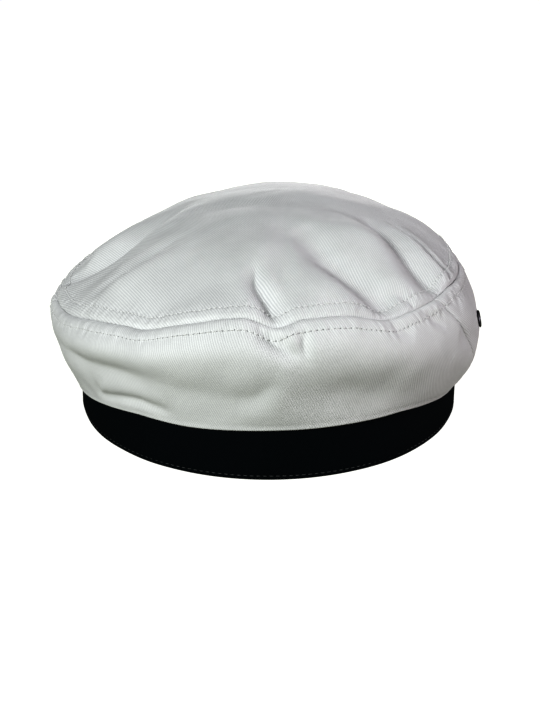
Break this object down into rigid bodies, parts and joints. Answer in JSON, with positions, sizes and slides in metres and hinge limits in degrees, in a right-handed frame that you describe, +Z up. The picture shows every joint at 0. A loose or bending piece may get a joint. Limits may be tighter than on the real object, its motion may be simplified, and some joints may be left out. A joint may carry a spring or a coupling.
{
  "type": "sailor cap",
  "caption": "Soft round sailor cap with a full white cotton crown over an upright black cloth band, without a peak.",
  "frame": {"origin": "centre of the band's lower edge, on the surface the cap rests on; the box's centre lies 1.3 mm from it, as the crown bulges more to one side", "axes": "+Z up through the crown, +Y towards the front of the cap, +X to the right seen from behind"},
  "size_m": [0.1951, 0.2284, 0.094],
  "materials": {
    "white_cotton": "matt diagonal twill",
    "black_cloth": "matt fine twill",
    "dark_metal": "dark satin"
  },
  "bodies": {
    "root": {"band": "black_cloth", "crown_back": "white_cotton", "crown_front": "white_cotton", "crown_top": "white_cotton", "eyelet_right": "dark_metal", "eyelet_left": "dark_metal"}
  },
  "joints": []
}
